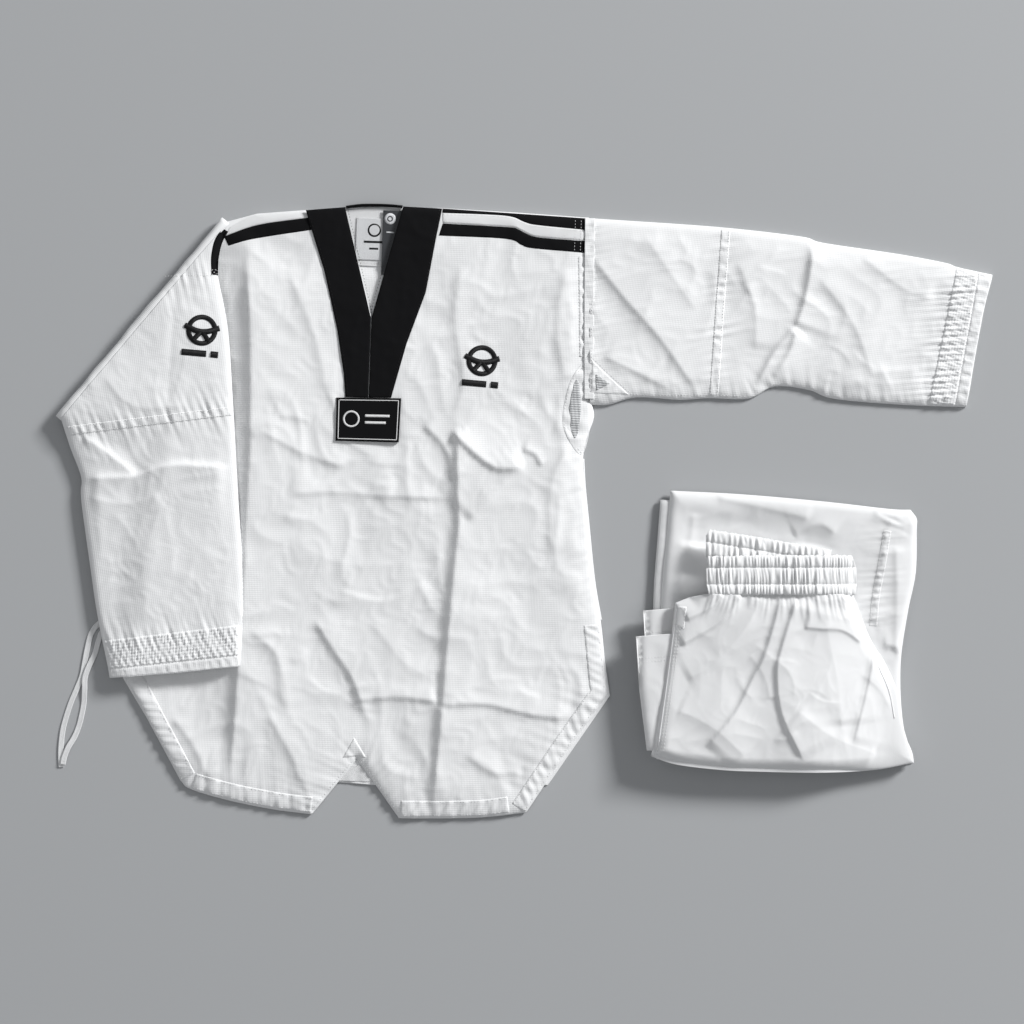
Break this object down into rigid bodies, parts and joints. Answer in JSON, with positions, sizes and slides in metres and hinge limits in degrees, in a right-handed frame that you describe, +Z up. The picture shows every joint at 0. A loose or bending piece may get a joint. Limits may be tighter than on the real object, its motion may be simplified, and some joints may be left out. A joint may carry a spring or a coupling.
{
  "type": "martial arts uniform",
  "caption": "Taekwondo uniform laid flat: V-neck pullover jacket, one sleeve spread and one folded over the body, with folded elastic-waist trousers beside it.",
  "frame": {"origin": "on the surface the uniform lies on, at the middle of the laid-out jacket and trousers without the two side ties", "axes": "+X towards the wearer's left, along the spread sleeve; +Y from the hem towards the neck; +Z up, out of the surface"},
  "size_m": [1.0291, 0.6772, 0.045],
  "materials": {
    "white_cotton": "matt white dobby weave",
    "white_trim": "matt white plain weave, stitched",
    "lining_cotton": "matt white lining",
    "black_cloth": "matt black twill",
    "airy_mesh": "open knitted mesh",
    "woven_label": "smooth woven label",
    "tag_card": "coated card",
    "trouser_twill": "smooth white twill"
  },
  "bodies": {
    "jacket_body": {"front_panel": "white_cotton", "back_panel": "white_cotton", "underarm_gusset_left": "white_trim", "mesh_insert_left": "airy_mesh", "side_seam_left": "white_trim", "side_seam_right": "white_trim", "collar_band_left": "black_cloth", "collar_band_right": "black_cloth", "collar_band_back": "black_cloth", "front_patch": "black_cloth", "back_neck_facing": "lining_cotton", "size_label": "woven_label", "shoulder_tape_white_left": "white_trim", "shoulder_tape_black_left": "black_cloth", "shoulder_tape_back_left": "black_cloth", "shoulder_tape_white_right": "white_trim", "shoulder_tape_black_right": "black_cloth", "side_vent_facing_left": "white_trim", "side_vent_facing_right": "white_trim", "hem_facing_left": "white_trim", "hem_facing_right": "white_trim", "hem_notch_gusset": "white_trim", "back_hem_facing": "lining_cotton", "armhole_band_left": "white_trim", "chest_emblem": "black_cloth", "right_sleeve_stub": "white_cotton", "tie_tab": "white_trim", "side_tie_front": "white_trim", "side_tie_back": "white_trim"},
    "left_upper_sleeve": {"left_sleeve_front": "white_cotton", "left_sleeve_back": "white_cotton", "left_sleeve_seam_band": "white_trim", "left_sleeve_gusset": "airy_mesh"},
    "left_forearm": {"left_forearm_front": "white_cotton", "left_forearm_back": "white_cotton", "left_cuff_quilting": "white_trim", "left_cuff_hem": "white_trim"},
    "right_upper_sleeve": {"right_sleeve_back": "white_cotton", "right_sleeve_front": "white_cotton", "right_sleeve_seam_band": "white_trim", "shoulder_tape_turned": "black_cloth", "sleeve_emblem": "black_cloth"},
    "right_forearm": {"right_forearm_back": "white_cotton", "right_forearm_front": "white_cotton", "right_cuff_quilting": "white_trim", "right_cuff_hem": "white_trim"},
    "hang_tag_card": {"hang_tag": "tag_card"},
    "trouser_legs": {"trouser_leg_left": "trouser_twill", "trouser_leg_right": "trouser_twill", "trouser_leg_end_left": "trouser_twill", "trouser_leg_end_right": "trouser_twill", "trouser_inseam": "white_trim"},
    "trouser_waist": {"trouser_front_panel": "trouser_twill", "trouser_back_panel": "trouser_twill", "trouser_side_seam": "white_trim", "trouser_crotch_seam": "white_trim", "waistband_front": "white_trim", "waistband_rear": "white_trim", "pocket_welt": "white_trim"}
  },
  "joints": [
    {"name": "left_shoulder_fold", "type": "hinge", "parent": "jacket_body", "child": "left_upper_sleeve", "pos_m": [0.06874, 0.22396, 0.01015], "axis": [-0.0016, -1, 0], "range_deg": [0, 170]},
    {"name": "left_elbow_fold", "type": "hinge", "parent": "left_upper_sleeve", "child": "left_forearm", "pos_m": [0.29636, 0.21649, 0.01015], "axis": [0.1409, 0.99, 0], "range_deg": [-165, 0]},
    {"name": "right_shoulder_fold", "type": "hinge", "parent": "jacket_body", "child": "right_upper_sleeve", "pos_m": [-0.42401, 0.21104, 0.01015], "axis": [-0.6428, -0.766, 0], "range_deg": [0, 175]},
    {"name": "right_elbow_fold", "type": "hinge", "parent": "right_upper_sleeve", "child": "right_forearm", "pos_m": [-0.40615, 0.03565, 0.02045], "axis": [0.9975, 0.0706, 0], "range_deg": [-165, 0]},
    {"name": "hang_tag_swing", "type": "hinge", "parent": "jacket_body", "child": "hang_tag_card", "pos_m": [-0.15079, 0.32202, 0.00475], "axis": [0, 0, 1], "range_deg": [-20, 3]},
    {"name": "trousers_lift", "type": "slide", "parent": "jacket_body", "child": "trouser_legs", "axis": [0, 0, 1], "range_m": [0, 0.3]},
    {"name": "trousers_unfold", "type": "hinge", "parent": "trouser_legs", "child": "trouser_waist", "pos_m": [0.28, -0.2857, 0.03205], "axis": [1, 0, 0], "range_deg": [0, 170]}
  ]
}
